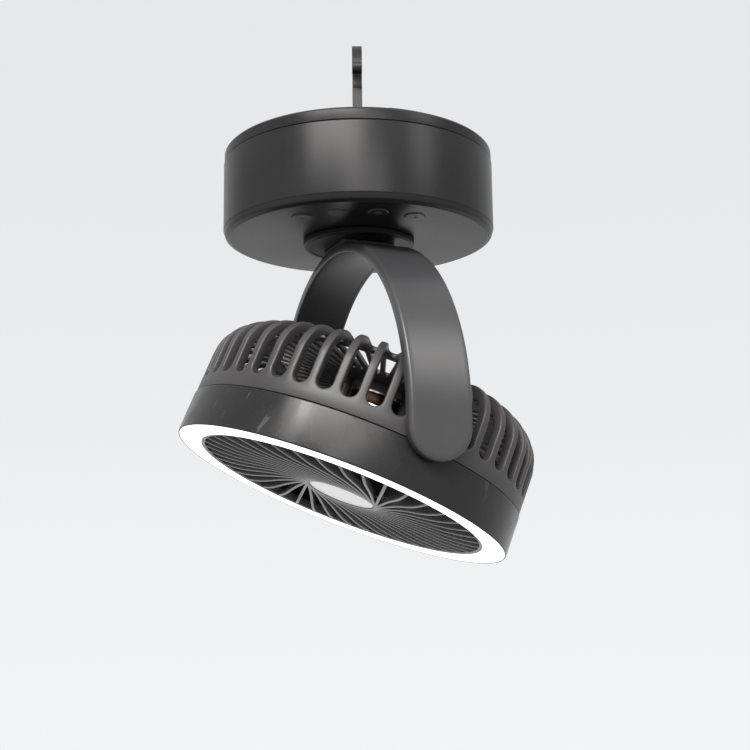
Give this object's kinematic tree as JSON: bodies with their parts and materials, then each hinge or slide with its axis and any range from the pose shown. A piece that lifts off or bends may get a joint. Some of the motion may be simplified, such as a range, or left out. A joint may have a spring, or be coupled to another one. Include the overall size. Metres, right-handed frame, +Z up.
{
  "type": "portable camping fan",
  "caption": "Rechargeable hanging fan: fold-out hook on a round base with push keys, swivelling arch yoke, tilting caged head with a swirl grille and a light ring round the face.",
  "frame": {"origin": "the hook's bearing point, on the base's axis", "axes": "+Z up along the base's axis and the swivel, +Y away from the key side of the base, +X to the right seen from the key side"},
  "size_m": [0.1722, 0.1782, 0.2658],
  "materials": {
    "hook_plastic": "moulded black plastic, satin",
    "base_plastic": "charcoal plastic, satin",
    "pad_rubber": "black rubber, matt",
    "key_plastic": "charcoal plastic, satin",
    "yoke_plastic": "charcoal plastic, satin",
    "head_plastic": "charcoal plastic, semi-gloss",
    "shell_plastic": "charcoal plastic, satin",
    "grille_plastic": "charcoal plastic, satin",
    "impeller_plastic": "dark plastic, satin",
    "diffuser": "milky white light diffuser, lit from behind",
    "white_plastic": "white plastic, semi-gloss",
    "washer_plastic": "natural nylon",
    "lens": "milky clear plastic",
    "steel": "plated steel",
    "cell_wrap": "blue shrink wrap",
    "tray_plastic": "black plastic",
    "board": "green circuit board",
    "led_board": "white circuit board",
    "bronze": "sintered bronze",
    "copper": "copper windings"
  },
  "bodies": {
    "base": {"base_cup": "base_plastic", "base_cover": "base_plastic", "cover_screws": "steel", "foot_pads": "pad_rubber", "hook_pin": "steel", "battery_cells": "cell_wrap", "battery_tray": "tray_plastic", "main_board": "board", "charging_socket": "steel", "charge_lens": "lens", "key_board": "board", "tact_switches": "steel", "swivel_washer": "washer_plastic"},
    "hook": {"hook": "hook_plastic"},
    "key_power": {"key_power": "key_plastic"},
    "key_speed": {"key_speed": "key_plastic"},
    "key_light": {"key_light": "key_plastic"},
    "key_timer": {"key_timer": "key_plastic"},
    "yoke": {"turntable": "yoke_plastic", "swivel_nut": "steel", "yoke": "yoke_plastic", "yoke_liner": "yoke_plastic", "yoke_screws": "steel", "pivot_washers": "washer_plastic", "pivot_clips": "steel"},
    "head": {"front_housing": "head_plastic", "led_diffuser": "diffuser", "led_board": "led_board", "front_grille": "grille_plastic", "centre_cap": "white_plastic", "rear_shell": "shell_plastic", "head_screws": "steel", "motor_bracket": "steel", "bracket_screws": "steel", "motor_screws": "steel", "motor_can": "steel", "motor_bushes": "bronze"},
    "impeller": {"impeller": "impeller_plastic", "motor_shaft": "steel", "motor_rotor": "copper", "shaft_clip": "steel"}
  },
  "joints": [
    {"name": "hook_fold", "type": "hinge", "parent": "base", "child": "hook", "pos_m": [0, 0, -0.0573], "axis": [0, 1, 0], "range_deg": [0, 90]},
    {"name": "key_power_press", "type": "slide", "parent": "base", "child": "key_power", "axis": [0, 0, 1], "range_m": [0, 0.0005], "stiffness_N_per_m": 800, "springref_m": -0.0005},
    {"name": "key_speed_press", "type": "slide", "parent": "base", "child": "key_speed", "axis": [0, 0, 1], "range_m": [0, 0.0005], "stiffness_N_per_m": 800, "springref_m": -0.0005},
    {"name": "key_light_press", "type": "slide", "parent": "base", "child": "key_light", "axis": [0, 0, 1], "range_m": [0, 0.0005], "stiffness_N_per_m": 800, "springref_m": -0.0005},
    {"name": "key_timer_press", "type": "slide", "parent": "base", "child": "key_timer", "axis": [0, 0, 1], "range_m": [0, 0.0005], "stiffness_N_per_m": 800, "springref_m": -0.0005},
    {"name": "swivel", "type": "hinge", "parent": "base", "child": "yoke", "pos_m": [0, 0, -0.0978], "axis": [0, 0, 1], "range_deg": [-165, 165]},
    {"name": "tilt", "type": "hinge", "parent": "yoke", "child": "head", "pos_m": [0, 0, -0.2008], "axis": [0.3746, -0.9272, 0], "range_deg": [-67, 113]},
    {"name": "impeller_spin", "type": "hinge", "parent": "head", "child": "impeller", "pos_m": [0, 0, -0.2008], "axis": [0.3623, 0.1464, 0.9205], "continuous": true}
  ]
}
